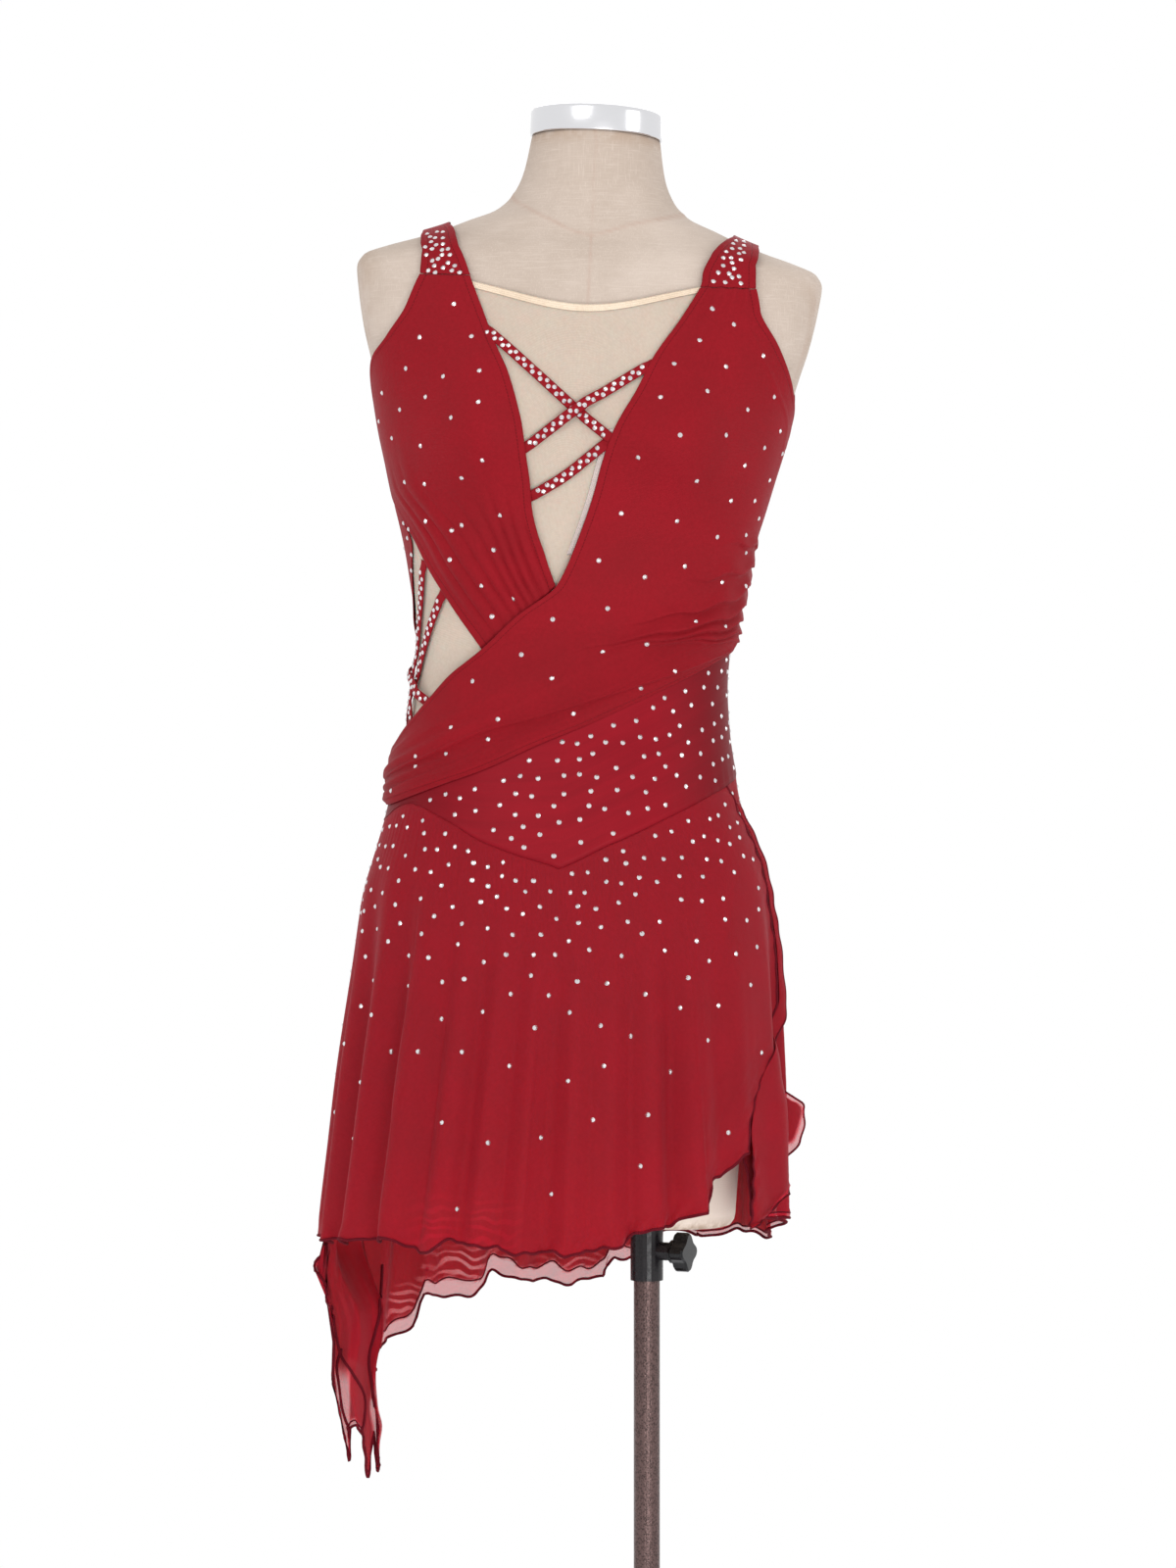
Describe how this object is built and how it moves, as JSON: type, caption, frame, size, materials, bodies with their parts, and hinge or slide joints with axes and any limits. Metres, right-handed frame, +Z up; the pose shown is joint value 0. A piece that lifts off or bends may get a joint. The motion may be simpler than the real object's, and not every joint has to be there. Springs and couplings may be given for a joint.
{
  "type": "lyrical dance dress on a limbless dress form with a pole stand",
  "caption": "Asymmetric dance dress with V neck, side cut-out, wrap drape, V-seamed belt and long-cornered skirt, worn by a limbless dress form on a round-based pole.",
  "frame": {"origin": "centre of the round base on the floor, on the pole's axis", "axes": "+Z up along the pole, -Y out of the front of the dress, +X to the wearer's left (the viewer's right from the front)"},
  "size_m": [0.4315, 0.36, 1.4941],
  "materials": {
    "red_knit": "matt fine stretch knit, dark red",
    "red_satin": "soft satin sheen, dark red",
    "red_mesh": "fine translucent stretch mesh, dark red",
    "nude_mesh": "fine nude stretch mesh",
    "linen": "worn natural linen over a hard form",
    "chrome": "polished",
    "black_metal": "satin black",
    "black_plastic": "glossy black",
    "hammertone": "speckled brown",
    "base_iron": "black enamel"
  },
  "bodies": {
    "stand": {"base_plate": "base_iron"},
    "mast": {"pole": "hammertone"},
    "form": {"form_body": "linen", "neck_cap": "chrome", "cap_button": "black_metal", "clamp_sleeve": "black_metal", "front_right": "red_knit", "front_left_wrap": "red_knit", "strap_right": "red_knit", "strap_left": "red_knit", "back_right": "red_knit", "back_left": "red_knit", "belt": "red_satin", "nude_front": "nude_mesh", "nude_side": "nude_mesh", "lace_neck_right": "red_knit", "lace_neck_left": "red_knit", "lace_low": "red_knit", "lace_side_back": "red_knit", "lace_side_front": "red_knit", "lace_side_cross": "red_knit", "skirt_front": "red_mesh", "skirt_back": "red_mesh", "slit_ruffle": "red_mesh"},
    "knob": {"clamp_knob": "black_plastic"}
  },
  "joints": [
    {"name": "form_turn", "type": "hinge", "parent": "stand", "child": "mast", "pos_m": [0, 0, 0.012], "axis": [0, 0, 1], "continuous": true},
    {"name": "form_height", "type": "slide", "parent": "mast", "child": "form", "axis": [0, 0, 1], "range_m": [-0.15, 0.15]},
    {"name": "knob_turn", "type": "hinge", "parent": "form", "child": "knob", "pos_m": [0.02175, -0.01014, 0.621], "axis": [0.9063, -0.4226, 0], "range_deg": [0, 360]}
  ]
}
